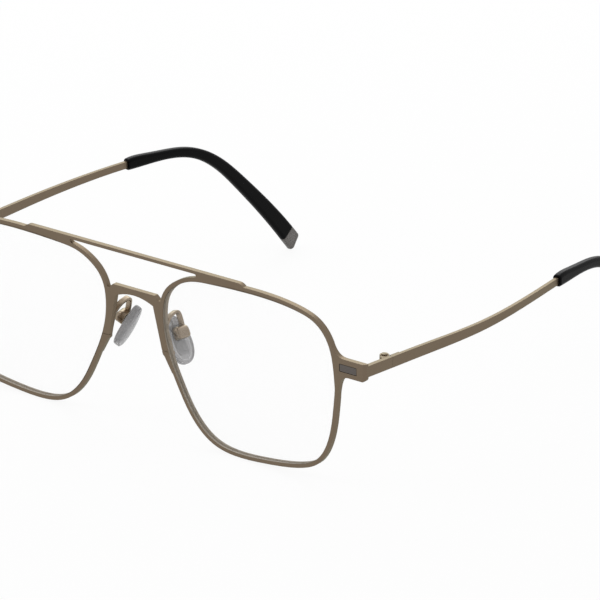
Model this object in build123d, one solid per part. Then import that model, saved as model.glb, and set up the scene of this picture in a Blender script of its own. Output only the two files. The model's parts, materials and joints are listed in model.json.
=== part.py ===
from build123d import *
from math import cos, radians, sin
import os

os.makedirs("parts", exist_ok=True)

# Eyeglass frame with a straight brow bar over an arched lower bridge, in millimetres.
# X runs to the wearer's left, Y runs back along the temples and Z runs up.
# The shapes are drawn about the mid plane, with Z zero at the height of the lens centres
# and Y zero at the front face there, and the whole frame is then stood on the floor.

# Lenses and rims
lens_width = 55.5
lens_height = 44.8
lens_gap = 19.0
rim_face = 1.1
front_thickness = 1.4
rim_merge = 0.2
groove_depth = 0.45
groove_width = 0.7
lens_clearance = 0.05
lens_thickness = 1.8
lens_radius = 400.0
lens_bulge = 0.9
lens_bevel_root = 0.4

# Brow bar and the flat zones that it runs into
brow_top = 24.2
brow_face = 0.85
slot_end_reach = 20.9
slot_end_radius = 0.42
brow_zone_reach = 34.5
brow_step_length = 3.0
brow_crown_share = 0.99

# Lower bridge and nasal plates
bridge_top = 14.3
bridge_face = 1.6
bridge_arch_rise = 1.4
bridge_arch_slope_share = 0.42
bridge_half_width = 6.3
bridge_notch_depth = 1.15
bridge_notch_width = 1.25
nasal_plate_splay = 2.75
nasal_plate_drop = 12.4
nasal_step = 0.6
nasal_tail_drop = 4.0
nasal_tail_run = 2.35
rim_slit_drop = 0.15
rim_slit_width = 0.12

# End pieces and the lugs that turn back to the hinges
endpiece_length = 9.8
endpiece_top = 11.65
endpiece_height = 4.7
endpiece_bevel = 0.8
endpiece_corner_radius = 1.1
blend_top_rise = 4.85
blend_top_run = 5.0
blend_top_inset = 1.65
blend_top_slope_share = 0.55
blend_bottom_drop = 5.6
blend_bottom_run = 3.7
blend_bottom_slope_share = 0.25
inlay_length = 5.5
inlay_height = 2.1
inlay_depth = 0.45
inlay_sink = 0.06
inlay_setback = 2.7
inlay_drop = 2.45
inlay_gap = 0.14
inlay_corner = 0.2
lug_thickness = 1.3
lug_height = 2.9
temple_line = 9.65
seam_depth = 10.3
seam_gap = 0.06

# Hinges
hinge_offset = 2.6
knuckles = 3
barrel_radius = 1.25
hinge_bore_radius = 0.55
hinge_screw_fit = 0.03
barrel_gap = 0.05
front_leaf_length = 1.1
front_leaf_round = 0.8
temple_leaf_length = 4.6
temple_leaf_thickness = 0.9
temple_leaf_height_share = 0.8
screw_head_radius = 0.85
screw_head_height = 0.3
screw_slot_width = 0.25
screw_slot_depth = 0.15
hinge_wall_gap = 0.05

# Temples
temple_thickness = 1.0
temple_rear_height = 1.9
temple_length = 70.7
temple_bow = 1.25
temple_tuck = 1.8
temple_rise = 3.35
temple_sag = 0.75
temple_rear_slope_share = 0.05
sleeve_overlap = 1.0
core_height = 1.4
core_thickness = 0.8
core_fit = 0.08
core_end_gap = 0.8

# Tips
tip_run = 61.5
tip_inset = 9.04
tip_waist_height = 2.75
tip_end_height = 5.0
tip_front_thickness = 2.5
tip_end_thickness = 2.3
tip_corner = 0.95
tip_mouth_round = 0.3
tip_end_length = 4.6
tip_end_slant = 1.2
tip_end_back_radius = 1.6
tip_end_front_radius = 0.9
tip_end_round = 0.5

# Nose pads, their boxes and their arms
pad_length = 13.0
pad_width = 7.0
pad_thickness = 2.0
pad_edge_round = 0.75
pad_offset = 8.42
pad_depth = 7.1
pad_height = 0.2
pad_lean_angle = 29.0
pad_splay_angle = 12.5
box_length = 3.4
box_width = 3.7
box_depth = 2.6
box_wall = 1.0
box_end_wall = 0.45
box_floor = 0.6
box_round = 0.9
box_edge_round = 0.8
box_crown = 1.5
box_rise = 1.6
box_gap = 0.35
ear_side_gap = 0.12
ear_radius = 0.85
ear_neck = 1.4
ear_reach = 0.95
insert_length = 8.0
insert_width = 3.4
insert_thickness = 0.6
insert_fit = 0.04
pad_screw_radius = 0.45
pad_screw_fit = 0.04
pad_screw_head_radius = 0.75
pad_screw_head_height = 0.35
pad_screw_slot_width = 0.2
pad_screw_slot_depth = 0.12
arm_width = 1.5
arm_thickness = 0.8
arm_edge_round = 0.2
arm_foot_length = 6.2
arm_foot_offset = 8.85
arm_foot_top = 4.8
arm_tilt_angle = 15.0
arm_rise = 3.3
arm_seat_shift = 1.0
arm_sink = 0.5

# Screws that close the rims round the lenses
rim_screw_radius = 0.35
rim_screw_fit = 0.03
rim_screw_head_radius = 0.6
rim_screw_head_height = 0.3
rim_screw_skin = 0.4

# Angle by which the front leans forward when the frame stands on a table
front_lean = 4.25
overrun = 1.0

# Places on the lens outline, as shares of half its width and half its height
lens_outline_shares = [
    (1.000, 0.18), (0.981, 0.44), (0.928, 0.667), (0.808, 0.844), (0.627, 0.932),
    (0.288, 0.989), (-0.144, 0.992), (-0.457, 0.971), (-0.641, 0.940), (-0.817, 0.846),
    (-0.954, 0.678), (-1.000, 0.446), (-0.988, 0.214), (-0.945, 0.0), (-0.815, -0.366),
    (-0.664, -0.687), (-0.436, -0.929), (-0.148, -0.998), (0.133, -0.982), (0.434, -0.938),
    (0.601, -0.892), (0.763, -0.797), (0.871, -0.625), (0.954, -0.312), (0.991, 0.0),
]
# Places on the side view of the tip, as shares of its run back and of its drop
tip_path_shares = [
    (0.0, 0.0), (0.169, 0.008), (0.267, 0.001), (0.332, -0.016), (0.397, -0.045), (0.462, -0.095),
    (0.527, -0.169), (0.592, -0.258), (0.657, -0.364), (0.787, -0.588), (0.917, -0.831), (1.0, -1.0),
]
# Stations along the tip as shares of its path, each with the share of its growth in height
tip_station_shares = [
    (0.0, 0.15), (0.12, 0.12), (0.24, 0.0), (0.34, 0.08), (0.44, 0.2), (0.54, 0.34),
    (0.64, 0.5), (0.74, 0.65), (0.84, 0.8), (0.92, 0.91), (1.0, 1.0),
]
core_reach_share = 0.62
# Half of the outline of a nose pad, as shares of half its width and half its length
pad_outline_shares = [(0.0, 1.0), (0.66, 0.64), (0.92, 0.22), (1.0, -0.18), (0.86, -0.62), (0.46, -0.92)]
# Places on the hoop of a pad arm, as shares of its reach back and of its rise
arm_hoop_shares = [(0.12, 0.46), (0.42, 0.88), (0.72, 1.0)]
outline_stations = 48
hoop_stations = 12

lens_centre = (lens_gap + lens_width) / 2
lens_nasal = lens_gap / 2
lens_temporal = lens_nasal + lens_width
endpiece_reach = lens_temporal + endpiece_length
lean = Rot(front_lean, 0, 0)
stand = (Align.CENTER, Align.CENTER, Align.MIN)
pieces = {}


def build_both(name, shape):
    """Keep a piece of the wearer's left side and its mirror image on the right."""
    pieces["left_" + name] = shape
    pieces["right_" + name] = mirror(shape, about=Plane.YZ)


def both_halves(shape):
    return shape + mirror(shape, about=Plane.YZ)


def plate(sketch, start, thickness):
    """Extrude a sketch of the front view backwards from a depth behind the front face."""
    return extrude(Plane.XZ.offset(-start) * sketch, amount=-thickness)


def pin(radius, start, length):
    """Give a round bar along X, from a start along X."""
    return Pos(start, 0, 0) * Rot(0, 90, 0) * Cylinder(radius, length, align=stand)


def lens_outline(grow):
    """Give the lens outline of the wearer's left side, moved outwards by a margin."""
    points = []
    for index in range(outline_stations):
        place = lens_curve @ (index / outline_stations)
        along = lens_curve % (index / outline_stations)
        points.append((place.X + along.Y * grow, place.Y - along.X * grow))
    return make_face(Spline(*points, periodic=True))


lens_points = [(lens_centre + x * lens_width / 2, z * lens_height / 2) for x, z in lens_outline_shares]
lens_curve = Spline(*lens_points, periodic=True)

# Front: rims, brow, bridge and end pieces are one sheet, drawn in the front view
aperture = lens_outline(0)
rim = lens_outline(rim_face)
brow_bottom = brow_top - brow_face
rim_overlap = rim_face - rim_merge

# The brow bar runs straight across and ends in flat zones that step down onto the rims
brow_bar = Pos(0, (brow_top + brow_bottom) / 2) * Rectangle(2 * slot_end_reach, brow_face)
brow_zone_end = brow_zone_reach + brow_step_length
step_start = (brow_zone_reach, brow_top)
step_end = (brow_zone_end, lens_height / 2 * brow_crown_share + rim_overlap)
slot_end = slot_end_reach - slot_end_radius
zone_floor = lens_height / 2 - rim_face
brow_zone = make_face(
    Polyline((slot_end, zone_floor), (slot_end, brow_top), step_start)
    + Spline(step_start, step_end, tangents=[(1, 0), (1, 0)])
    + Polyline(step_end, (brow_zone_end, zone_floor), (slot_end, zone_floor))
)
slot_round = Pos(slot_end, brow_bottom - slot_end_radius) * Circle(slot_end_radius)
brow = both_halves(brow_zone - slot_round) + brow_bar

# The lower bridge is an arch between the nasal plates, with a notch where it meets each rim
bridge_bottom = bridge_top - bridge_face
arch_corner = (bridge_half_width, bridge_bottom - bridge_arch_rise)
plate_foot = (bridge_half_width + nasal_plate_splay, arch_corner[1] - nasal_plate_drop)
ledge = (plate_foot[0] + nasal_step, plate_foot[1] - nasal_step)
tail = (ledge[0] + nasal_tail_run, ledge[1] - nasal_tail_drop)
tail_root = (tail[0] + rim_face / 2, tail[1])
notch_bottom = bridge_top - bridge_notch_depth
notch_start = bridge_half_width + bridge_notch_width / 2
notch_end = notch_start + bridge_notch_width
bridge_side = make_face(
    Polyline((0, bridge_top), (notch_start, bridge_top), (notch_end, notch_bottom))
    + Polyline((notch_end, notch_bottom), (lens_nasal + rim_face, notch_bottom), tail_root)
    + Polyline(tail_root, tail, ledge, plate_foot, arch_corner)
    + Spline(arch_corner, (0, bridge_bottom), tangents=[(-1, bridge_arch_slope_share), (-1, 0)])
    + Line((0, bridge_bottom), (0, bridge_top))
)
bridge = both_halves(bridge_side)

# Each end piece is a plate that grows out of the rim
endpiece_bottom = endpiece_top - endpiece_height
plate_root = lens_temporal - rim_face
top_blend_start = (lens_temporal - blend_top_inset, endpiece_top + blend_top_rise)
top_blend_end = (top_blend_start[0] + blend_top_run, endpiece_top)
bottom_blend_start = (lens_temporal + rim_overlap, endpiece_bottom - blend_bottom_drop)
bottom_blend_end = (bottom_blend_start[0] + blend_bottom_run, endpiece_bottom)
corner_start = (endpiece_reach, endpiece_bottom + endpiece_corner_radius)
corner_end = (endpiece_reach - endpiece_corner_radius, endpiece_bottom)
endpiece_side = make_face(
    Spline(top_blend_start, top_blend_end, tangents=[(blend_top_slope_share, -1), (1, 0)])
    + Polyline(top_blend_end, (endpiece_reach, endpiece_top), corner_start)
    + RadiusArc(corner_start, corner_end, endpiece_corner_radius)
    + Line(corner_end, bottom_blend_end)
    + Spline(bottom_blend_end, bottom_blend_start, tangents=[(-1, 0), (-blend_bottom_slope_share, -1)])
    + Polyline(bottom_blend_start, (plate_root, bottom_blend_start[1]), (plate_root, endpiece_top))
    + Line((plate_root, endpiece_top), top_blend_start)
)
profile = both_halves(rim + endpiece_side) + brow + bridge - both_halves(aperture)
sheet = plate(profile, 0, front_thickness)

# A groove round each aperture takes the bevel of the lens
groove_start = (front_thickness - groove_width) / 2
groove = plate(lens_outline(groove_depth) - lens_outline(-rim_merge), groove_start, groove_width)

# The plate of each end piece has a recess for its inlay and a bevelled front corner
inlay_place = Pos(endpiece_reach - inlay_setback - inlay_length / 2, endpiece_top - inlay_drop)
recess_sketch = RectangleRounded(inlay_length, inlay_height, inlay_corner)
inlay_sketch = RectangleRounded(
    inlay_length - 2 * inlay_gap, inlay_height - 2 * inlay_gap, inlay_corner - inlay_gap
)
recess = plate(inlay_place * recess_sketch, -overrun, inlay_depth + overrun)
inlay = plate(inlay_place * inlay_sketch, inlay_sink, inlay_depth - inlay_sink)
bevel_section = make_face(
    Polyline(
        (endpiece_reach - endpiece_bevel - overrun, -overrun),
        (endpiece_reach + overrun, endpiece_bevel + overrun),
        (endpiece_reach + overrun, -overrun),
        close=True,
    )
)
corner_bevel = extrude(
    Pos(0, 0, endpiece_bottom - overrun) * bevel_section, amount=endpiece_height + 2 * overrun
)

# Each rim is slit through its nasal plate, so that it opens to take the lens
slit_reach = tail[0] - plate_foot[0] + lens_nasal
slit_sketch = Pos(plate_foot[0], -rim_slit_drop) * Rectangle(slit_reach, rim_slit_width)
slit = plate(slit_sketch, -overrun, front_thickness + 2 * overrun)

# Pad arm: a flat ribbon whose foot lies along the nasal plate and whose hoop turns back to the box
arm_tilt = radians(arm_tilt_angle)
arm_plane = Plane(
    origin=(arm_foot_offset, front_thickness + arm_thickness / 2, arm_foot_top),
    x_dir=(0, 1, 0),
    z_dir=(cos(arm_tilt), 0, sin(arm_tilt)),
)
pad_splay = radians(pad_splay_angle)
pad_lean = radians(pad_lean_angle)
pad_across = Vector(sin(pad_splay), cos(pad_splay), 0)
pad_along = Vector(-sin(pad_lean) * cos(pad_splay), sin(pad_lean) * sin(pad_splay), cos(pad_lean))
pad_plane = Plane(
    origin=(pad_offset, pad_depth, pad_height), x_dir=pad_across, z_dir=pad_across.cross(pad_along)
)
box_mouth = pad_thickness / 2 + box_gap
box_centre = box_mouth + box_depth / 2
arm_seat = arm_plane.to_local_coords(
    pad_plane.from_local_coords(Vector(arm_seat_shift, box_rise + box_length / 2 - arm_sink, box_centre))
)
hoop_points = [(0, 0)] + [(arm_seat.X * run, arm_rise * rise) for run, rise in arm_hoop_shares]
hoop_points.append((arm_seat.X, arm_seat.Y))
hoop_curve = Spline(*hoop_points, tangents=[(0, 1), (0, -1)])


def arm_side(margin):
    """Give one long edge of the ribbon in its side view, at a margin from its middle line."""
    points = []
    for index in range(hoop_stations + 1):
        place = hoop_curve @ (index / hoop_stations)
        along = hoop_curve % (index / hoop_stations)
        points.append((place.X + along.Y * margin, place.Y - along.X * margin))
    return Line((margin, -arm_foot_length), points[0]) + Spline(*points)


back_side = arm_side(arm_thickness / 2)
front_side = arm_side(-arm_thickness / 2)
arm_view = make_face(
    back_side + front_side + Line(back_side @ 0, front_side @ 0) + Line(back_side @ 1, front_side @ 1)
)
arm_ribbon = extrude(arm_view, amount=arm_width / 2, both=True)
long_edges = arm_ribbon.edges().group_by(Axis.Z)[0] + arm_ribbon.edges().group_by(Axis.Z)[-1]
arm_ribbon = fillet(long_edges, arm_edge_round)
foot_end = Pos(0, -arm_foot_length, 0) * pin(arm_width / 2, -arm_thickness / 2, arm_thickness)

# Rim screw: it goes through the lower end of the foot into the plate below the slit
screw_place = arm_plane.location * Pos(0, -arm_foot_length, 0)
screw_length = front_thickness + arm_thickness - rim_screw_skin
screw_start = arm_thickness / 2 - screw_length
screw_hole = screw_place * pin(rim_screw_radius + rim_screw_fit, screw_start, screw_length + overrun)
rim_screw = pin(rim_screw_radius, screw_start, screw_length) + pin(
    rim_screw_head_radius, arm_thickness / 2, rim_screw_head_height
)
rim_screw_slot = Pos(arm_thickness / 2 + rim_screw_head_height, 0, 0) * Box(
    2 * pad_screw_slot_depth, 2 * rim_screw_head_radius + overrun, pad_screw_slot_width
)
build_both("rim_screw", lean * screw_place * (rim_screw - rim_screw_slot))

# Pad box: a small cup with a rounded back, open towards the pad
box_top = box_rise + box_length / 2
box_bottom = box_rise - box_length / 2
box_back = box_mouth + box_depth
box_side = make_face(
    FilletPolyline(
        (box_bottom, box_mouth),
        (box_bottom, box_back),
        (box_top, box_back),
        (box_top, box_mouth),
        radius=[box_round, box_crown],
    )
    + Line((box_top, box_mouth), (box_bottom, box_mouth))
)
box_block = extrude(Plane.YZ * box_side, amount=box_width / 2, both=True)
side_edges = box_block.edges().group_by(Axis.X)[0] + box_block.edges().group_by(Axis.X)[-1]
closed_edges = side_edges.filter_by(lambda edge: edge.center().Z > box_mouth + box_gap)
box_shell = fillet(closed_edges, box_edge_round)
cavity_width = box_width - 2 * box_wall
cavity = Pos(0, box_rise, box_mouth - overrun) * Box(
    cavity_width, box_length - 2 * box_end_wall, box_depth - box_floor + overrun, align=stand
)
screw_axis = Pos(0, box_rise, box_mouth + ear_reach)
pad_screw_hole = pin(pad_screw_radius + pad_screw_fit, -box_width, 2 * box_width)
head_recess = pin(
    pad_screw_head_radius + pad_screw_fit, -box_width / 2 - overrun, pad_screw_head_height + overrun
)
pad_box = box_shell - cavity - screw_axis * (pad_screw_hole + head_recess)
pad_screw = pin(pad_screw_radius, -box_width / 2, box_width) + pin(
    pad_screw_head_radius, -box_width / 2, pad_screw_head_height
)
pad_screw_slot = Pos(-box_width / 2, 0, 0) * Box(
    2 * pad_screw_slot_depth, pad_screw_slot_width, 2 * pad_screw_head_radius + overrun
)
pad_arm = arm_plane.location * (arm_ribbon + foot_end) - screw_hole - pad_plane.location * box_shell
build_both("pad_arm", lean * pad_arm)
build_both("pad_box", lean * pad_plane.location * pad_box)
build_both("pad_screw", lean * pad_plane.location * screw_axis * (pad_screw - pad_screw_slot))

# Nose pad: a rounded drop of silicone round a core plate, whose ear is held by the pad screw
ear_width = cavity_width - 2 * ear_side_gap
neck_height = box_mouth + ear_reach
core_plate = Box(insert_width, insert_length, insert_thickness)
neck = Pos(0, box_rise, 0) * Box(ear_width, ear_neck, neck_height, align=stand)
ear = screw_axis * pin(ear_radius, -ear_width / 2, ear_width)
pad_insert = core_plate + neck + ear - screw_axis * pad_screw_hole
right_half = [(x * pad_width / 2, y * pad_length / 2) for x, y in pad_outline_shares]
left_half = [(-x, y) for x, y in right_half[:0:-1]]
pad_outline = make_face(Spline(*right_half, (0, -pad_length / 2), *left_half, periodic=True))
pad_body = extrude(Pos(0, 0, -pad_thickness / 2) * pad_outline, amount=pad_thickness)
pad_body = fillet(pad_body.edges(), pad_edge_round)
core_space = Box(
    insert_width + 2 * insert_fit, insert_length + 2 * insert_fit, insert_thickness + 2 * insert_fit
)
neck_space = Pos(0, box_rise, 0) * Box(
    ear_width + 2 * insert_fit, ear_neck + 2 * insert_fit, pad_thickness, align=stand
)
nose_pad = pad_body - core_space - neck_space
build_both("nose_pad", lean * pad_plane.location * nose_pad)
build_both("pad_insert", lean * pad_plane.location * pad_insert)

# The lugs run level, so they are drawn after the front has been leaned
side_cuts = groove + recess + corner_bevel + slit + screw_hole
front = lean * (sheet - side_cuts - mirror(side_cuts, about=Plane.YZ))
lug_top = temple_line + lug_height / 2
lug_bottom = lug_top - lug_height
lug_start = endpiece_bevel - lug_bottom * sin(radians(front_lean))
lug_inner = endpiece_reach - lug_thickness
lug_end = seam_depth - seam_gap / 2
lug = Pos(lug_inner, lug_start, lug_bottom) * Box(
    lug_thickness, lug_end - lug_start, lug_height, align=Align.MIN
)
front = front + both_halves(lug)
pieces["front_frame"] = front
build_both("endpiece_inlay", lean * inlay)

# Lens: a thin meniscus whose bevel sits in the groove
front_sphere = Pos(lens_centre, lens_radius - lens_bulge, 0) * Sphere(lens_radius)
back_sphere = Pos(lens_centre, lens_radius - lens_bulge + lens_thickness, 0) * Sphere(lens_radius)
lens_blank = plate(lens_outline(-lens_clearance), -lens_thickness, 4 * lens_thickness)
bevel_ring = lens_outline(groove_depth - lens_clearance) - lens_outline(-lens_bevel_root)
bevel = plate(bevel_ring, groove_start + lens_clearance, groove_width - 2 * lens_clearance)
lens = (lens_blank & front_sphere) - back_sphere + bevel
build_both("lens", lean * lens)

# Hinge: two outer barrels on the lug and one between them on the temple, round one screw
pivot_x = endpiece_reach - hinge_offset
pivot_y = seam_depth
barrel_height = (lug_height - (knuckles - 1) * barrel_gap) / knuckles
middle_bottom = lug_bottom + barrel_height + barrel_gap
upper_bottom = middle_bottom + barrel_height + barrel_gap


def barrel(bottom):
    return Pos(pivot_x, pivot_y, bottom) * Cylinder(barrel_radius, barrel_height, align=stand)


def front_neck(bottom):
    """Join an outer barrel to the leaf and to the inner face of the lug."""
    neck_block = Box(neck_width, lug_end - leaf_end, barrel_height, align=Align.MIN)
    return Pos(pivot_x, leaf_end, bottom) * neck_block


hinge_bore = Pos(pivot_x, pivot_y, lug_bottom - overrun) * Cylinder(
    hinge_bore_radius, lug_height + 2 * overrun, align=stand
)
leaf_end = pivot_y - barrel_radius - hinge_wall_gap
neck_width = lug_inner - pivot_x
leaf_block = Pos(pivot_x, leaf_end - front_leaf_length, lug_bottom) * Box(
    neck_width, front_leaf_length, lug_height, align=Align.MIN
)
leaf_corner = leaf_block.edges().filter_by(Axis.Z).group_by(Axis.X)[0].sort_by(Axis.Y)[0]
front_leaf = fillet(leaf_corner, front_leaf_round)
hinge_front = front_leaf + front_neck(lug_bottom) + front_neck(upper_bottom)
hinge_front = hinge_front + barrel(lug_bottom) + barrel(upper_bottom) - hinge_bore
build_both("hinge_front", hinge_front)

# The temple leaf lies on the inner face of the temple, and its neck reaches the middle barrel
leaf_start = pivot_y + barrel_radius + hinge_wall_gap
temple_inner = endpiece_reach - temple_thickness
temple_leaf_height = lug_height * temple_leaf_height_share
leaf_corner_place = Pos(temple_inner - temple_leaf_thickness, leaf_start, temple_line - temple_leaf_height / 2)
temple_leaf = leaf_corner_place * Box(
    temple_leaf_thickness, temple_leaf_length - barrel_radius, temple_leaf_height, align=Align.MIN
)
temple_neck = Pos(pivot_x, pivot_y + seam_gap, middle_bottom) * Box(
    temple_inner - pivot_x, leaf_start - pivot_y, barrel_height, align=Align.MIN
)
hinge_temple = temple_leaf + temple_neck + barrel(middle_bottom) - hinge_bore
build_both("hinge_temple", hinge_temple)

# Hinge screw: its head stands on the upper barrel and carries a slot
screw_shank = Pos(pivot_x, pivot_y, lug_bottom) * Cylinder(
    hinge_bore_radius - hinge_screw_fit, lug_height, align=stand
)
screw_head = Pos(pivot_x, pivot_y, lug_top) * Cylinder(screw_head_radius, screw_head_height, align=stand)
screw_slot = Pos(pivot_x, pivot_y, lug_top + screw_head_height - screw_slot_depth) * Box(
    2 * screw_head_radius + overrun, screw_slot_width, screw_slot_depth + overrun, align=stand
)
build_both("hinge_screw", screw_shank + screw_head - screw_slot)

# Temple: a bowed strip cut to its plan and to its side view, with a thin core for the tip
temple_start = seam_depth + seam_gap / 2
temple_end = temple_start + temple_length
temple_outer_end = endpiece_reach - temple_tuck
straight_end = temple_start + temple_leaf_length
middle_y = temple_start + temple_length / 2
inward_slope = tip_inset / tip_run
strip_end = temple_end + sleeve_overlap
plan_points = [
    (endpiece_reach, straight_end),
    (endpiece_reach + temple_bow, middle_y),
    (temple_outer_end, temple_end),
]
plan_end = (temple_outer_end - inward_slope * sleeve_overlap, strip_end)
outer_edge = (
    Line((endpiece_reach, temple_start), plan_points[0])
    + Spline(*plan_points, tangents=[(0, 1), (-inward_slope, 1)])
    + Line(plan_points[-1], plan_end)
)
plan = make_face(
    outer_edge
    + Pos(-temple_thickness, 0) * outer_edge
    + Line((endpiece_reach, temple_start), (temple_inner, temple_start))
    + Line(plan_end, (plan_end[0] - temple_thickness, strip_end))
)
rear_line = temple_line + temple_rise
middle_line = temple_line + temple_rise / 2 - temple_sag
middle_half = (lug_height + temple_rear_height) / 4
end_rise = temple_rear_slope_share * sleeve_overlap


def temple_edge(front_half, middle_half, rear_half):
    """Give the upper or the lower edge of the temple in the side view."""
    front_place = (temple_start, temple_line + front_half)
    middle_place = (middle_y, middle_line + middle_half)
    rear_place = (temple_end, rear_line + rear_half)
    edge = Spline(front_place, middle_place, rear_place, tangents=[(1, 0), (1, temple_rear_slope_share)])
    return edge + Line(rear_place, (strip_end, rear_line + rear_half + end_rise))


upper_edge = temple_edge(lug_height / 2, middle_half, temple_rear_height / 2)
lower_edge = temple_edge(-lug_height / 2, -middle_half, -temple_rear_height / 2)
side_view = make_face(
    upper_edge + lower_edge + Line(lower_edge @ 0, upper_edge @ 0) + Line(lower_edge @ 1, upper_edge @ 1)
)
strip_plan = extrude(Pos(0, 0, temple_line - lug_height) * plan, amount=2 * lug_height + temple_rise)
strip_side = extrude(Plane.YZ * side_view, amount=endpiece_reach + temple_bow + overrun)
strip = strip_plan & strip_side

# Tip: sections lofted along a path that runs back and then drops behind the ear
floor_level = front.bounding_box().min.Z
tip_start = Vector(temple_outer_end - temple_thickness / 2, temple_end, rear_line)


def tip_line(drop):
    """Give the middle line of the tip, which ends a drop below its start."""
    points = []
    for run, rise in tip_path_shares:
        points.append(tip_start + Vector(-tip_inset * run, tip_run * run, drop * rise))
    last_run = tip_path_shares[-1][0] - tip_path_shares[-2][0]
    last_rise = tip_path_shares[-1][1] - tip_path_shares[-2][1]
    start_way = Vector(-inward_slope, 1, temple_rear_slope_share)
    end_way = Vector(-tip_inset * last_run, tip_run * last_run, drop * last_rise)
    return Spline(*points, tangents=[start_way, end_way])


def station(path, share):
    """Give the plane square to a path, with its X axis in the side view."""
    along = path % share
    upright = Vector(0, -along.Z, along.Y)
    return Plane(origin=path @ share, x_dir=upright, z_dir=along)


def tip_section(path, share, growth):
    height = tip_waist_height + (tip_end_height - tip_waist_height) * growth
    thickness = tip_front_thickness + (tip_end_thickness - tip_front_thickness) * share
    return station(path, share) * RectangleRounded(height, thickness, tip_corner)


def end_piece(path):
    """Give the last length of a tip, with an oblique and rounded end."""
    cap_share = 1 - tip_end_length / path.length
    base = station(path, cap_share)
    side = Plane(origin=base.origin, x_dir=base.z_dir, z_dir=base.y_dir)
    half = tip_end_height / 2 + overrun
    slant = tip_end_slant * half / tip_end_height
    outline = FilletPolyline(
        (-overrun, half),
        (tip_end_length - slant, half),
        (tip_end_length + slant, -half),
        (-overrun, -half),
        radius=[tip_end_back_radius + overrun, tip_end_front_radius + overrun],
    )
    end_side = make_face(outline + Line((-overrun, -half), (-overrun, half)))
    return extrude(tip_section(path, cap_share, 1), amount=tip_end_length + tip_end_slant) & extrude(
        side * end_side, amount=tip_end_thickness, both=True
    )


# The end of the tip stands on the same floor as the rims
trial_end = end_piece(tip_line(rear_line - floor_level))
end_lift = floor_level - trial_end.bounding_box().min.Z
tip_path = tip_line(rear_line - floor_level - end_lift)
square_end = end_piece(tip_path)
rear_edges = square_end.edges().filter_by(lambda edge: edge.center().Y > square_end.center().Y)
tip_end = fillet(rear_edges, tip_end_round)
cap_share = 1 - tip_end_length / tip_path.length
tip_loft = loft([tip_section(tip_path, share * cap_share, growth) for share, growth in tip_station_shares])
tip_body = fillet(tip_loft.faces().sort_by(Axis.Y)[0].edges(), tip_mouth_round)


def core_stack(grow):
    """Loft the core's section along the front part of the tip, grown by a margin on each side."""
    sections = []
    for share, _ in tip_station_shares:
        place = station(tip_path, share * cap_share * core_reach_share)
        sections.append(place * Rectangle(core_height + 2 * grow, core_thickness + 2 * grow))
    return loft(sections), sections[-1]


core = core_stack(0)[0]
bore, bore_end = core_stack(core_fit)
mouth = station(tip_path, 0).offset(-overrun) * Rectangle(
    temple_rear_height + 2 * core_fit, temple_thickness + 2 * core_fit
)
bore = bore + extrude(bore_end, amount=core_end_gap)
bore = bore + extrude(mouth, amount=sleeve_overlap + overrun + core_fit)
build_both("temple", strip + core)
build_both("temple_tip", tip_body - bore)
build_both("tip_end", tip_end)

# Stand the frame on the floor, centred on the origin
boxes = [shape.bounding_box() for shape in pieces.values()]
front_y = min(box.min.Y for box in boxes)
back_y = max(box.max.Y for box in boxes)
floor_z = min(box.min.Z for box in boxes)
placing = Pos(0, -(front_y + back_y) / 2, -floor_z)
for name, shape in pieces.items():
    export_step(placing * shape, "parts/" + name + ".step")
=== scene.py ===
# %% [markdown]
# Double bridge glasses: finishes and soft pieces
#
# The metal front, the temples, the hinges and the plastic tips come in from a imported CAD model,
# already at their real size and place. This lesson gives each of them a finish, gives the lenses a
# ground edge, models the two clear silicone nose pads, and sets up a camera and plain studio light.

# %% Load the frame
import json
from math import cos, pi, radians, sin

import bmesh
import bpy
from mathutils import Matrix, Vector


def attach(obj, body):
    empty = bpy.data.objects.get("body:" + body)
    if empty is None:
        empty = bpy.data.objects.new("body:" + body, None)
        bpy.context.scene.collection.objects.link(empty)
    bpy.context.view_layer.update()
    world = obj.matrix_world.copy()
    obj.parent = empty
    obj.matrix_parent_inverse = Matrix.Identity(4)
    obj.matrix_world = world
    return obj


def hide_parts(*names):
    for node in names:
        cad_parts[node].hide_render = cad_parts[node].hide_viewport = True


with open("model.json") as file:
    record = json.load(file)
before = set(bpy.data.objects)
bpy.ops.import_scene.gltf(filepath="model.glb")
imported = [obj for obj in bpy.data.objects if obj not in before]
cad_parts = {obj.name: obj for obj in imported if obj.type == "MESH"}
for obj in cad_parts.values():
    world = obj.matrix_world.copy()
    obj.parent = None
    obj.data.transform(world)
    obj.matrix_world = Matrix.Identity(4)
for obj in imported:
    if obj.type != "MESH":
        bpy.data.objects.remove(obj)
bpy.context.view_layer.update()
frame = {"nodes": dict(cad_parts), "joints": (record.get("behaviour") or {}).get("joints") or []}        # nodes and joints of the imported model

MM = 0.001
nodes = frame["nodes"]
joints = {joint["name"]: joint for joint in frame["joints"]}

# %% [markdown]
# Small helpers
#
# Colours are written as the hex values that a paint chart or a photo editor shows. Shaders work
# in linear light, so one function turns them. A second function adds a shader node: an input that
# is given a socket is linked, and any other value is set on it. With these two, a material reads
# as a short recipe instead of a page of links.

# %% Colours and nodes
def linear(code):
    """Turn an sRGB hex colour into the linear colour that a shader takes."""
    shares = [int(code[start:start + 2], 16) / 255 for start in (1, 3, 5)]
    return [s / 12.92 if s <= 0.04045 else ((s + 0.055) / 1.055) ** 2.4 for s in shares] + [1.0]


def add_node(tree, kind, inputs=(), **settings):
    """Add a node with its settings; inputs are pairs of a socket's name and a value or a socket."""
    node = tree.nodes.new(kind)
    for name, value in settings.items():
        setattr(node, name, value)
    for name, value in inputs:
        if isinstance(value, bpy.types.NodeSocket):
            tree.links.new(value, node.inputs[name])
        else:
            node.inputs[name].default_value = value
    return node


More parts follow.
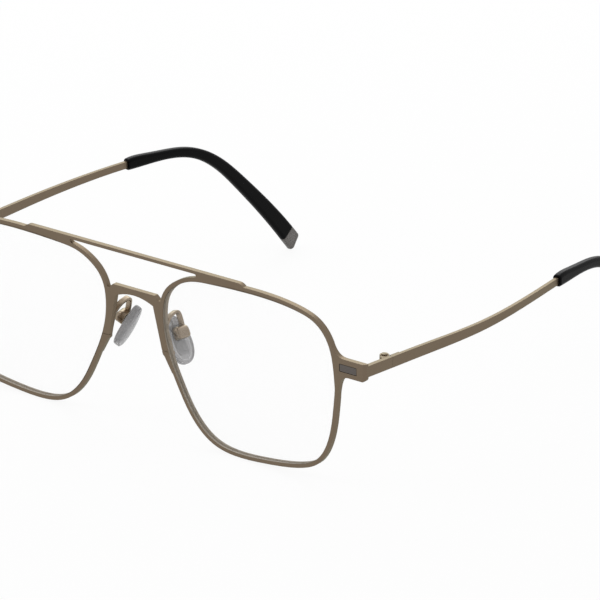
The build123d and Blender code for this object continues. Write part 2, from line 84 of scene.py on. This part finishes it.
def new_material(name, **sockets):
    """Start a material whose Principled shader has these values, with _ for each space."""
    material = bpy.data.materials.new(name)
    material.use_nodes = True
    shader = material.node_tree.nodes["Principled BSDF"]
    for socket, value in sockets.items():
        shader.inputs[socket.replace("_", " ")].default_value = value
    return material, material.node_tree, shader


# %% [markdown]
# Noise at a real size
#
# Every surface has some grain: the pits that a blasting grit leaves, the haze of a moulding tool,
# the lines of a brush. A Noise Texture read from Object coordinates is the plainest way to draw
# them, because these pieces have no UV map and their object coordinates are real metres. Its scale
# is one over the size of a grain, so the recipe can name that size in millimetres. The noise keeps
# mostly to the middle of its range from 0 to 1, so that middle is spread out before it is used.

# %% Grain
noise_low = 0.3
noise_high = 0.7
noise_detail = 2.0


def grain(tree, size_mm, stretch=(1.0, 1.0, 1.0)):
    """Noise whose grains are about this size, drawn longer along an axis by its stretch."""
    place = add_node(tree, "ShaderNodeTexCoord")
    mapping = add_node(
        tree,
        "ShaderNodeMapping",
        [("Vector", place.outputs["Object"]), ("Scale", [1 / share for share in stretch])],
    )
    return add_node(
        tree,
        "ShaderNodeTexNoise",
        [("Vector", mapping.outputs["Vector"]), ("Scale", 1 / (size_mm * MM)), ("Detail", noise_detail)],
    ).outputs["Fac"]


def vary(tree, shader, socket, noise, low, high):
    """Let a number on the shader run from low to high with the noise."""
    spread = add_node(
        tree,
        "ShaderNodeMapRange",
        [
            ("Value", noise),
            ("From Min", noise_low),
            ("From Max", noise_high),
            ("To Min", low),
            ("To Max", high),
        ],
    )
    tree.links.new(spread.outputs["Result"], shader.inputs[socket])


def tint(tree, shader, noise, first, second):
    """Let the base colour run between two hex colours with the noise."""
    # A Mix node keeps sockets for every kind of value. Those for colours are 6, 7 and output 2.
    blend = add_node(
        tree,
        "ShaderNodeMix",
        [(0, noise), (6, linear(first)), (7, linear(second))],
        data_type="RGBA",
    )
    tree.links.new(blend.outputs[2], shader.inputs["Base Color"])


def roughen(tree, shader, noise, height_mm, strength, under=None):
    """Raise a bump of a real height, over a rounded normal if one is given."""
    inputs = [("Height", noise), ("Distance", height_mm * MM), ("Strength", strength)]
    if under is not None:
        inputs.append(("Normal", under))
    bump = add_node(tree, "ShaderNodeBump", inputs)
    tree.links.new(bump.outputs["Normal"], shader.inputs["Normal"])


# %% [markdown]
# Satin metal of the front and the temples
#
# The frame is stainless steel sheet, blasted with a fine grit and then plated in a pale champagne
# tone. Blasting leaves pits of about 0.05 mm that spread each highlight, so the metal never
# mirrors anything sharply. Pits of that size are under a pixel here and are drawn about 0.25 mm
# across. Tumbling rounds the edges by about a tenth of a millimetre. The Bevel node gives the
# sharp CAD edges that small round, so that they catch a thin line of light as the real ones do.
# At a flat angle the plating turns from champagne to a paler straw tone, which the specular tint
# gives. The pad arms and their boxes are tumbled smoother than the front, and the screws are turned.
# The pad arms and boxes also get a lighter tone than the front's plating. That lighter tone is painted
# light for their bright rounded tops.

# %% Satin plated steel
blast_pit_mm = 0.25
pit_strength = 0.35
plating_cloud_mm = 9.0
tumbled_edge_mm = 0.12
edge_samples = 6
plating_sheen = "#F0F9EE"


def plated_steel(name, light_tone, dark_tone, smooth, rough, pit_height_mm):
    """Blasted and plated steel between two tones, with a rounded edge."""
    material, tree, shader = new_material(name, Metallic=1.0, Specular_Tint=linear(plating_sheen))
    tint(tree, shader, grain(tree, plating_cloud_mm), dark_tone, light_tone)
    vary(tree, shader, "Roughness", grain(tree, blast_pit_mm), smooth, rough)
    edge = add_node(tree, "ShaderNodeBevel", [("Radius", tumbled_edge_mm * MM)], samples=edge_samples)
    roughen(tree, shader, grain(tree, blast_pit_mm), pit_height_mm, pit_strength, edge.outputs["Normal"])
    return material


satin_steel = plated_steel(
    "champagne_plated_blasted_steel", "#958471", "#8D7C69", smooth=0.36, rough=0.44, pit_height_mm=0.006
)
# Lighter tones than the front's plating: painted light for the bright rounded tops of the pad arms and
# boxes.
tumbled_steel_painted_lighter = plated_steel(
    "champagne_plated_tumbled_steel_painted_lighter", "#B8A793", "#AE9D89", smooth=0.26, rough=0.32, pit_height_mm=0.002
)
screw_steel = plated_steel(
    "champagne_plated_turned_steel", "#9C8B77", "#94836F", smooth=0.26, rough=0.32, pit_height_mm=0.002
)
print("plated steels:", satin_steel.name, tumbled_steel_painted_lighter.name, screw_steel.name)

# %% [markdown]
# Brushed strip in each end piece
#
# A small grey strip is let into the face of each end piece. It was brushed along its length, so
# its lines run along X. They could be painted, but noise that is stretched forty times that way and
# stays fine across gives the same lines, and never repeats.

# %% Brushed grey steel
brush_line_mm = 0.18
brush_stretch = 40.0

inlay_steel, tree, shader = new_material("brushed_grey_steel", Metallic=1.0)
brushing = grain(tree, brush_line_mm, (brush_stretch, 1.0, 1.0))
tint(tree, shader, brushing, "#6D6763", "#7F7975")
vary(tree, shader, "Roughness", brushing, low=0.3, high=0.42)
roughen(tree, shader, brushing, height_mm=0.004, strength=0.5)
print("brushed lines:", brush_line_mm, "mm wide and", round(brush_line_mm * brush_stretch, 1), "mm long")

# %% [markdown]
# Clear lenses
#
# Demonstration lenses are thin polished acrylic with a coating that takes nearly all reflection
# away. They have no power, so what lies behind them is neither bent nor moved. A refracting shader
# would bend it and leave white specks, so a very low alpha is used instead: nearly every ray passes
# straight through, and only a faint film and shine are left. The edge that sits in the rim is
# ground, not polished, so it has a material of its own. Its tan colour is a painted reflection of the
# metal round it.

# %% Coated and ground acrylic
handling_haze_mm = 14.0
grinding_mark_mm = 0.2

lens_acrylic, tree, shader = new_material(
    "coated_clear_acrylic",
    Base_Color=linear("#FDFEFE"),
    IOR=1.49,
    Specular_IOR_Level=0.1,
    Alpha=0.025,
)
vary(tree, shader, "Roughness", grain(tree, handling_haze_mm), low=0.05, high=0.12)

# The tan tones are a painted reflection of the rim's metal. Only the grinding grain belongs to the edge
# itself.
lens_edge_painted_rim_tone, tree, shader = new_material("ground_acrylic_edge_painted_rim_reflection", IOR=1.49)
grinding = grain(tree, grinding_mark_mm)
tint(tree, shader, grinding, "#8A7F6F", "#978C7C")
vary(tree, shader, "Roughness", grinding, low=0.5, high=0.65)
print("lens finishes:", lens_acrylic.name, lens_edge_painted_rim_tone.name)

# %% [markdown]
# Black tips and their smoke-grey ends
#
# The tips are cellulose acetate, tumbled to a soft polish. Acetate is never one dead black: it has
# faint clouds, and its polish leaves a haze that widens the shine along the upper edge. Their
# last few millimetres are a smoke-grey piece of the same plastic that lets some light through.

# %% Acetate
acetate_cloud_mm = 3.0
acetate_cloud_stretch = 4.0
acetate_haze_mm = 0.35
acetate_haze_height_mm = 0.003
acetate_haze_strength = 0.4


def acetate(name, dark_tone, light_tone, smooth, rough, through, shine):
    """Tumbled acetate between two tones, which lets a share of the light through."""
    material, tree, shader = new_material(
        name, IOR=1.48, Transmission_Weight=through, Specular_IOR_Level=shine
    )
    clouds = grain(tree, acetate_cloud_mm, (1.0, acetate_cloud_stretch, 1.0))
    tint(tree, shader, clouds, dark_tone, light_tone)
    vary(tree, shader, "Roughness", grain(tree, acetate_haze_mm), smooth, rough)
    roughen(tree, shader, grain(tree, acetate_haze_mm), acetate_haze_height_mm, acetate_haze_strength)
    return material


black_acetate = acetate(
    "tumbled_black_acetate", "#020203", "#060607", smooth=0.24, rough=0.32, through=0.0, shine=0.11
)
smoke_acetate = acetate(
    "smoke_grey_acetate", "#6E6A67", "#7F7B77", smooth=0.22, rough=0.32, through=0.35, shine=0.4
)
print("acetates:", black_acetate.name, smoke_acetate.name)

# %% [markdown]
# Clear plastics of the nose pads
#
# A nose pad is soft clear silicone moulded round a harder core plate of polycarbonate. Silicone
# has a low index and a slightly hazy skin from its mould, so it looks grey and bright-edged against
# white, and its core hardly shows through the haze. A fully clear shader would show every bounce
# inside the pad as noise, so only half of the light goes through. Where the mould closed, the rim
# has a step. The wall of that step is given a lighter, less clear silicone, a painted highlight that
# runs round the pad as a pale line.

# %% Silicone and polycarbonate
mould_haze_mm = 0.3


def silicone(name, tone, through):
    """Clear silicone of this tone, which lets a share of the light through."""
    material, tree, shader = new_material(
        name,
        Base_Color=linear(tone),
        IOR=1.41,
        Transmission_Weight=through,
        Coat_Weight=0.3,
        Coat_Roughness=0.2,
        Sheen_Weight=0.35,
        Sheen_Roughness=0.3,
    )
    vary(tree, shader, "Roughness", grain(tree, mould_haze_mm), low=0.2, high=0.28)
    return material


pad_silicone = silicone("moulded_clear_silicone", "#BFBEBF", through=0.5)
# The step's lighter tone is a painted highlight: the pale line of light along the step.
step_silicone_painted_highlight = silicone("clear_silicone_painted_pale_step", "#DADADB", through=0.3)

core_plastic, tree, shader = new_material(
    "moulded_clear_polycarbonate", Base_Color=linear("#B9BABA"), IOR=1.58, Transmission_Weight=0.7
)
vary(tree, shader, "Roughness", grain(tree, mould_haze_mm), low=0.1, high=0.2)
print("pad plastics:", pad_silicone.name, step_silicone_painted_highlight.name, core_plastic.name)

# %% [markdown]
# Put the finishes on the CAD pieces
#
# A CAD piece whose shape is right stays as it is and only takes a material. It could be picked by
# hand, but its name ends the same way on both sides of the frame, so a table of endings serves
# both. The first ending that fits is taken, which is why hinge_temple stands before temple.

# %% Finishes by name
finishes = {
    "front_frame": satin_steel,
    "lens": lens_acrylic,
    "rim_screw": screw_steel,
    "pad_arm": tumbled_steel_painted_lighter,
    "pad_box": tumbled_steel_painted_lighter,
    "pad_screw": screw_steel,
    "pad_insert": core_plastic,
    "endpiece_inlay": inlay_steel,
    "hinge_front": satin_steel,
    "hinge_temple": satin_steel,
    "hinge_screw": screw_steel,
    "temple_tip": black_acetate,
    "tip_end": smoke_acetate,
    "temple": satin_steel,
}
for name, piece in nodes.items():
    for ending, material in finishes.items():
        if name.endswith(ending):
            piece.data.materials.clear()
            piece.data.materials.append(material)
            break
print("finished CAD pieces:", len(nodes))

# %% [markdown]
# Lenses with a ground edge
#
# The CAD lens has the right shape but one finish. Its faces could be sorted by the way they point,
# but the polished faces are curved. They meet the ground edge at a clear angle, so a walk over the
# mesh that starts in the middle of a face and never crosses a sharp edge finds just the polished
# part. The walk needs joined triangles, and a CAD piece is left as it is, so it runs on a merged
# copy that stands in for the lens.

# %% Ground edges
shallow_angle = radians(25)
merge_distance = 0.0005 * MM
facing_share = 0.9


def polished_part(bm):
    """Walk from the middle of the front and of the back, and give every face of the two."""
    middle = sum((vert.co for vert in bm.verts), Vector()) / len(bm.verts)
    met = set()
    for side in (-1, 1):
        facing = [face for face in bm.faces if face.normal.y * side > facing_share]
        waiting = [min(facing, key=lambda face: (face.calc_center_median() - middle).xz.length)]
        while waiting:
            face = waiting.pop()
            if face in met:
                continue
            met.add(face)
            for edge in face.edges:
                if edge.is_manifold and edge.calc_face_angle() < shallow_angle:
                    waiting.extend(edge.link_faces)
    return met


for side in ("left", "right"):
    bm = bmesh.new()
    bm.from_mesh(nodes[side + "_lens"].data)
    bmesh.ops.remove_doubles(bm, verts=bm.verts, dist=merge_distance)
    polished = polished_part(bm)
    # Slot 0 is the polished acrylic and slot 1 is the ground edge.
    for face in bm.faces:
        face.material_index = int(face not in polished)
        face.smooth = face in polished
    mesh = bpy.data.meshes.new(side + "_clear_lens")
    bm.to_mesh(mesh)
    print(side, "lens: polished faces", len(polished), "of", len(bm.faces))
    bm.free()
    mesh.set_sharp_from_angle(angle=shallow_angle)
    mesh.materials.append(lens_acrylic)
    mesh.materials.append(lens_edge_painted_rim_tone)
    lens = bpy.data.objects.new(side + "_clear_lens", mesh)
    bpy.context.scene.collection.objects.link(lens)
    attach(lens, "front")
    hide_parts(side + "_lens")

# %% [markdown]
# Nose pads
#
# Each pad is a drop of silicone, wider at the foot than at the top, with a crowned face towards
# the nose and a stepped rim at the back, where the mould closed. It could be sculpted, but a drop
# is one closed outline pushed through its thickness, so a circle is bent into the outline,
# extruded, and inset for the step and the crown. Bevels and a Subdivision Surface then soften
# it. The place comes from the pad's joint: its axis runs across the pad, through the screw.

# %% Pad sizes
pad_length = 13.0 * MM
pad_width = 7.0 * MM
pad_thickness = 2.0 * MM
pad_drop_share = 0.2
pad_lean = radians(29.0)
front_lean = radians(4.25)
screw_above_centre = 1.6 * MM
screw_behind_centre = 2.3 * MM
pad_step_insets = [(0.5 * MM, 0), (0.2 * MM, -0.3 * MM), (0.3 * MM, 0)]
pad_crown_insets = [(0.9 * MM, 0.16 * MM), (0.9 * MM, 0.08 * MM)]
pad_edge = 0.5 * MM
pad_edge_segments = 3
pad_sides = 40
level_slack = 0.05 * MM
skin_levels = 2


# %% Pad shape
def pad_mesh(name):
    """Model a pad about its own centre, with its back towards +Z, and give its object."""
    bm = bmesh.new()
    bmesh.ops.create_circle(bm, cap_ends=True, radius=1.0, segments=pad_sides)
    for vert in bm.verts:
        across, along = vert.co.x, vert.co.y
        vert.co.x = across * (1 - pad_drop_share * along) * pad_width / 2
        vert.co.y = along * pad_length / 2
        vert.co.z = -pad_thickness / 2
    front_face = bm.faces[:]
    grown = bmesh.ops.extrude_face_region(bm, geom=front_face)
    back_verts = [item for item in grown["geom"] if isinstance(item, bmesh.types.BMVert)]
    bmesh.ops.translate(bm, verts=back_verts, vec=(0, 0, pad_thickness))
    bmesh.ops.recalc_face_normals(bm, faces=bm.faces)
    rims = [edge for edge in bm.edges if abs(edge.verts[0].co.z - edge.verts[1].co.z) < level_slack]
    bmesh.ops.bevel(
        bm,
        geom=rims,
        offset=pad_edge,
        offset_type="OFFSET",
        segments=pad_edge_segments,
        profile=0.5,
        affect="EDGES",
        material=-1,
    )
    bm.faces.ensure_lookup_table()
    # After the bevel, the two flat caps are the lowest and the highest face.
    ends = sorted(bm.faces, key=lambda face: face.calc_center_median().z)
    nose_face, back_face = ends[0], ends[-1]
    for face, insets in ((nose_face, pad_crown_insets), (back_face, pad_step_insets)):
        for width, rise in insets:
            ring = bmesh.ops.inset_region(bm, faces=[face], thickness=width, depth=rise)["faces"]
            # The wall that steps down into the back takes slot 1, the lighter silicone of the painted
            # highlight.
            for wall in ring:
                wall.material_index = int(rise < 0)
    bmesh.ops.recalc_face_normals(bm, faces=bm.faces)
    mesh = bpy.data.meshes.new(name)
    bm.to_mesh(mesh)
    bm.free()
    return bpy.data.objects.new(name, mesh)


# %% Pads in place
# The front leans, and each pad leans with it and then turns out at its foot.
upward = Matrix.Rotation(front_lean, 3, "X") @ Vector((0, 0, 1))
for side, sign in (("left", 1), ("right", -1)):
    joint = joints[side + "_pad_rock"]
    across = Vector(joint["axis"]).normalized()
    outward = across.cross(upward) * sign
    pad_along = upward * cos(pad_lean) - outward * sin(pad_lean)
    pad_back = outward * cos(pad_lean) + upward * sin(pad_lean)
    centre = Vector(joint["pos_m"]) - pad_along * screw_above_centre - pad_back * screw_behind_centre
    pad = pad_mesh(side + "_silicone_pad")
    bpy.context.scene.collection.objects.link(pad)
    turn = Matrix((across * sign, pad_along, pad_back)).transposed().to_4x4()
    pad.data.transform(Matrix.Translation(centre) @ turn)
    for polygon in pad.data.polygons:
        polygon.use_smooth = True
    smooth = pad.modifiers.new("soft_skin", "SUBSURF")
    smooth.levels = skin_levels
    smooth.render_levels = skin_levels
    pad.data.materials.append(pad_silicone)
    pad.data.materials.append(step_silicone_painted_highlight)
    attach(pad, side + "_pad")
    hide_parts(side + "_nose_pad")

# %% [markdown]
# Camera
#
# The glasses are seen from the wearer's front left and a little above, from far away through a
# long lens, so that they look nearly without perspective. The camera looks at a point of the front
# and is turned slightly about its own axis. A matrix would place it too, but two angles and a
# distance can be read and changed.

# %% Camera
view_azimuth = radians(38.62)
view_elevation = radians(18.67)
view_roll = radians(1.354)
view_distance = 1578.2 * MM
view_target = Vector((53.0, -70.72, 46.83)) * MM
view_lens_mm = 381.9
sensor_width_mm = 36.0
nearest_seen = 0.05
farthest_seen = 50.0


def way_to(azimuth, elevation):
    """Give the direction at an azimuth from the front of the glasses and an elevation."""
    return Vector((sin(azimuth) * cos(elevation), -cos(azimuth) * cos(elevation), sin(elevation)))


back = way_to(view_azimuth, view_elevation)
camera = bpy.data.objects.new("camera", bpy.data.cameras.new("camera"))
camera.data.lens = view_lens_mm
camera.data.sensor_width = sensor_width_mm
camera.data.clip_start = nearest_seen
camera.data.clip_end = farthest_seen
camera.rotation_mode = "QUATERNION"
camera.location = view_target + back * view_distance
level = (-back).to_track_quat("-Z", "Y")
camera.rotation_quaternion = level @ Matrix.Rotation(view_roll, 3, "Z").to_quaternion()
bpy.context.scene.collection.objects.link(camera)
bpy.context.scene.camera = camera
print("camera at mm:", [round(value / MM) for value in camera.location])

# %% [markdown]
# Floor and backdrop
#
# Product photos of this kind stand the object on white. Lighting a floor until it clips would wash
# out the object as well, so the floor shows its own white only to rays that come from the camera
# or pass through clear plastic, and a softer white to rays that bounce off the metal. A
# share of plain diffuse white is kept, because it carries the shadow.

# %% Floor
floor_reach = 6.0
floor_white_share = 0.9
gloss_white = 0.62

bm = bmesh.new()
bmesh.ops.create_grid(bm, x_segments=1, y_segments=1, size=floor_reach)
floor_mesh = bpy.data.meshes.new("floor")
bm.to_mesh(floor_mesh)
bm.free()
floor = bpy.data.objects.new("floor", floor_mesh)
bpy.context.scene.collection.objects.link(floor)


def seen_white(tree, gloss_level):
    """Give the strength of white for each kind of ray, and 1 where a ray has one of those kinds."""
    ray = add_node(tree, "ShaderNodeLightPath").outputs
    clear = add_node(
        tree, "ShaderNodeMath",
        [(0, ray["Is Camera Ray"]), (1, ray["Is Transmission Ray"])], operation="MAXIMUM",
    )
    gloss = add_node(
        tree, "ShaderNodeMath", [(0, ray["Is Glossy Ray"]), (1, gloss_level)], operation="MULTIPLY"
    )
    level = add_node(
        tree, "ShaderNodeMath", [(0, clear.outputs[0]), (1, gloss.outputs[0])], operation="MAXIMUM"
    )
    either = add_node(
        tree, "ShaderNodeMath", [(0, clear.outputs[0]), (1, ray["Is Glossy Ray"])], operation="MAXIMUM"
    )
    return level.outputs[0], either.outputs[0]


paper, tree, shader = new_material("white_paper", Base_Color=linear("#F2F2F2"), Roughness=0.9)
level, either = seen_white(tree, gloss_white)
glow = add_node(tree, "ShaderNodeEmission", [("Color", linear("#FFFFFF")), ("Strength", level)])
share = add_node(tree, "ShaderNodeMath", [(0, either), (1, floor_white_share)], operation="MULTIPLY")
mixed = add_node(
    tree, "ShaderNodeMixShader",
    [("Fac", share.outputs[0]), (1, shader.outputs["BSDF"]), (2, glow.outputs["Emission"])],
)
tree.links.new(mixed.outputs[0], tree.nodes["Material Output"].inputs["Surface"])
floor.data.materials.append(paper)
print("floor:", 2 * floor_reach, "m wide, white to a reflection:", gloss_white)

# %% [markdown]
# Studio light
#
# The white wall of the studio stands behind the object, and the room on the camera's side is
# dimmer. That is what makes the upper faces of satin metal bright and its front faces calm. Walls
# could be built, but a world that reflections see brighter towards the back than towards the front
# gives the same light without them. It is measured along a fixed direction, so it doesn't turn
# with the view.

# %% World
room_light = 0.8
back_wall_gloss = 0.66
front_room_gloss = 0.5
back_wall_rise = 0.5
front_room_from = -0.3
back_wall_from = 0.5

world = bpy.data.worlds.new("white_studio")
bpy.context.scene.world = world
world.use_nodes = True
tree = world.node_tree
background = tree.nodes["Background"]
direction = add_node(tree, "ShaderNodeTexCoord").outputs["Generated"]
wall_way = (-back.x, -back.y, back_wall_rise)
towards_back = add_node(
    tree, "ShaderNodeVectorMath", [(0, direction), (1, wall_way)], operation="DOT_PRODUCT"
)
wall = add_node(
    tree,
    "ShaderNodeMapRange",
    [
        ("Value", towards_back.outputs["Value"]),
        ("From Min", front_room_from),
        ("From Max", back_wall_from),
        ("To Min", front_room_gloss),
        ("To Max", back_wall_gloss),
    ],
)
level, either = seen_white(tree, wall.outputs["Result"])
plain_light = add_node(tree, "ShaderNodeMath", [(0, room_light), (1, either)], operation="SUBTRACT")
strength = add_node(
    tree, "ShaderNodeMath", [(0, level), (1, plain_light.outputs[0])], operation="MAXIMUM"
)
background.inputs["Color"].default_value = linear("#FFFFFF")
tree.links.new(strength.outputs[0], background.inputs["Strength"])
print("world seen by metal:", front_room_gloss, "in front,", back_wall_gloss, "behind")

# %% [markdown]
# Soft lamps
#
# A large soft lamp behind and above gives the tops of the metal their shine, and a smaller one fills
# from the side. They could be set in watts, but a lamp that is moved or resized would then change
# how bright it looks, so each is given the brightness of its face and its power is worked out.

# %% Lamps
lamp_distance = 0.9
lamp_aim = Vector((0, 0, 20)) * MM


def soft_lamp(name, azimuth, elevation, size, radiance):
    """A square soft lamp that faces the object; its power follows from how bright its face is."""
    data = bpy.data.lights.new(name, "AREA")
    data.shape = "SQUARE"
    data.size = size
    data.energy = radiance * pi * size * size
    lamp = bpy.data.objects.new(name, data)
    way = way_to(azimuth, elevation)
    lamp.rotation_mode = "QUATERNION"
    lamp.rotation_quaternion = (-way).to_track_quat("-Z", "Y")
    lamp.location = lamp_aim + way * lamp_distance
    lamp.visible_camera = False
    bpy.context.scene.collection.objects.link(lamp)
    print(name, "power in watts:", round(data.energy, 2))


soft_lamp(
    "back_lamp", azimuth=view_azimuth + pi, elevation=radians(38), size=0.7, radiance=1.3
)
soft_lamp(
    "side_lamp", azimuth=view_azimuth - radians(75), elevation=radians(50), size=0.5, radiance=1.1
)

# %% [markdown]
# Finish
#
# The Standard view transform keeps a colour as it was written, where the others bend it for film.

# %% View transform and last update
bpy.context.scene.view_settings.view_transform = "Standard"
bpy.context.view_layer.update()
